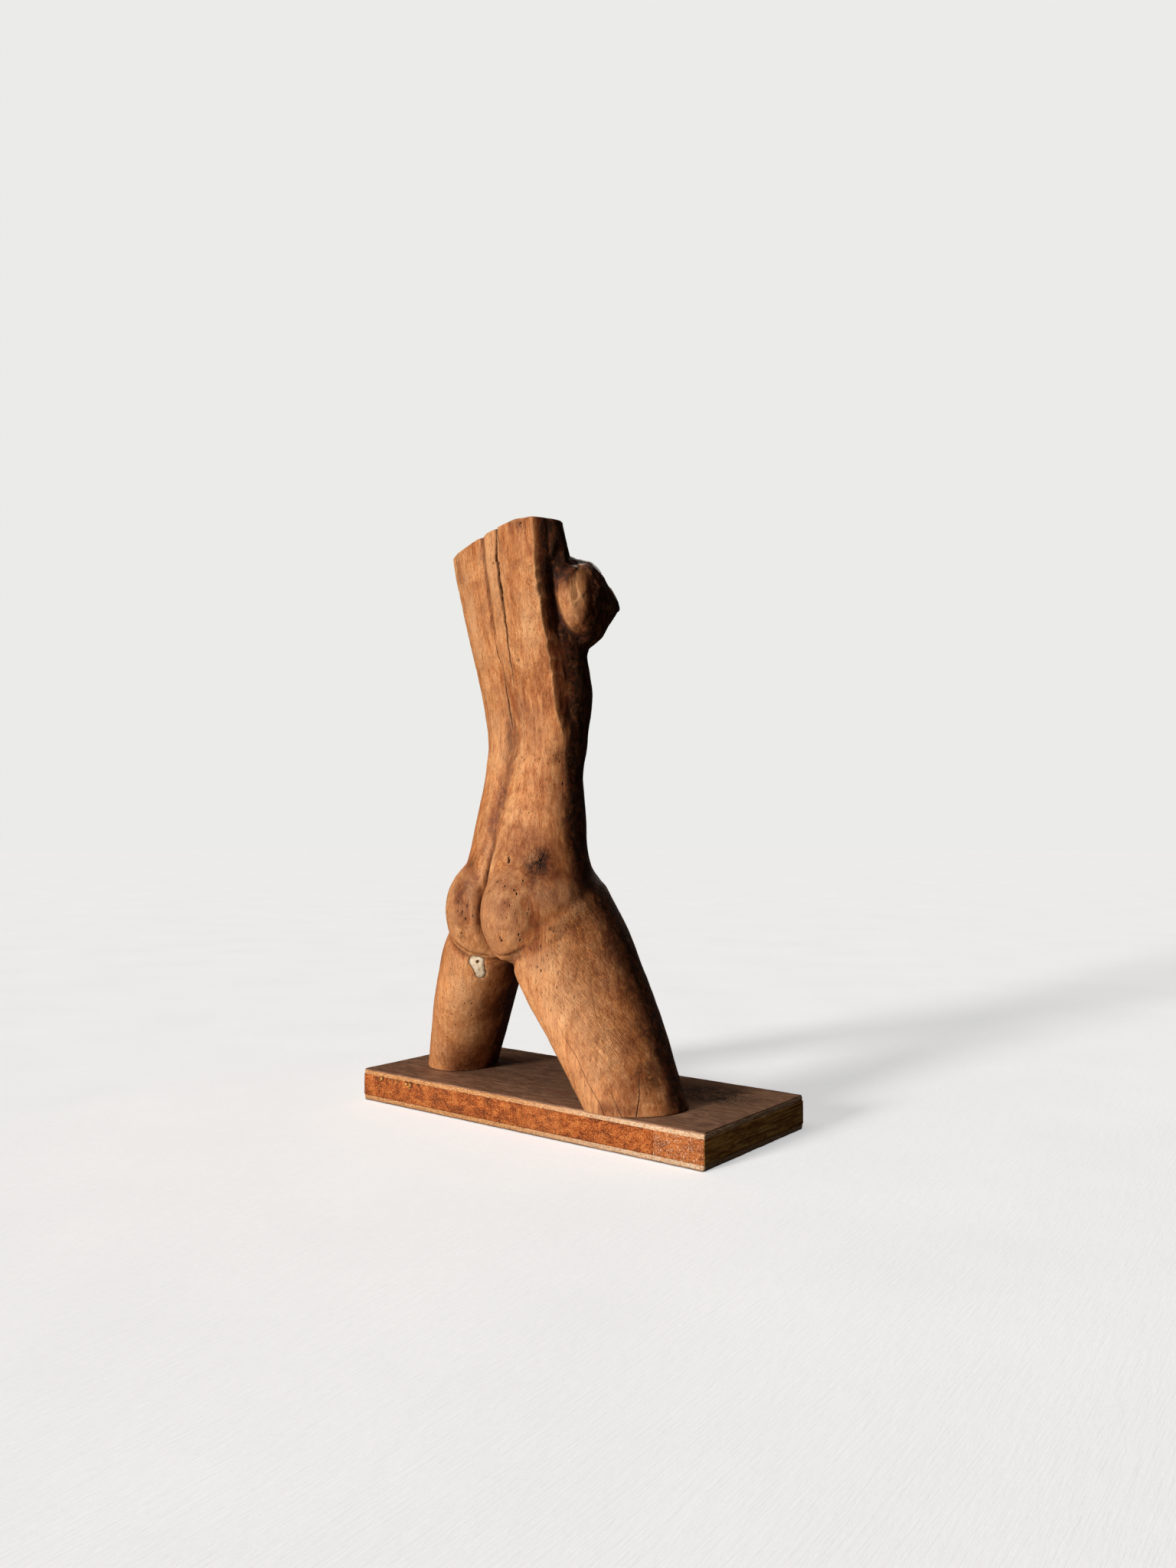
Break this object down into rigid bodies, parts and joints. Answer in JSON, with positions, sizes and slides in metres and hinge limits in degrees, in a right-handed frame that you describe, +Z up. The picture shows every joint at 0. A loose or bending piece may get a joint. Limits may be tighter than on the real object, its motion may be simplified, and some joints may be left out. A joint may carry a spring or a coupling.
{
  "type": "carved wooden torso sculpture",
  "caption": "Carved wooden torso of a standing woman, legs astride, with sawn-off shoulders and thighs, on a strip of blockboard.",
  "frame": {"origin": "centre of the plinth's underside", "axes": "+Z up, +X along the plinth towards the figure's left, -Y the side that the figure faces"},
  "size_m": [0.2506, 0.127, 0.3403],
  "materials": {
    "carved_wood": "knife-cut and rasped, stained and worn, low sheen",
    "cream_filler": "hard set filler, matt",
    "dark_face_veneer": "dark walnut brown, worn, low sheen",
    "pale_crossband": "raw sawn edge, matt",
    "core_strips": "raw sawn end grain, speckled, matt"
  },
  "bodies": {
    "root": {"torso": "carved_wood", "thigh_filler": "cream_filler", "plinth_face_veneer": "dark_face_veneer", "plinth_under_veneer": "dark_face_veneer", "plinth_upper_crossband": "pale_crossband", "plinth_lower_crossband": "pale_crossband", "plinth_core_strip_1": "core_strips", "plinth_core_strip_2": "core_strips", "plinth_core_strip_3": "core_strips", "plinth_core_strip_4": "core_strips", "plinth_core_strip_5": "core_strips", "plinth_core_strip_6": "core_strips", "plinth_core_strip_7": "core_strips", "plinth_core_strip_8": "core_strips", "plinth_core_strip_9": "core_strips"}
  },
  "joints": []
}
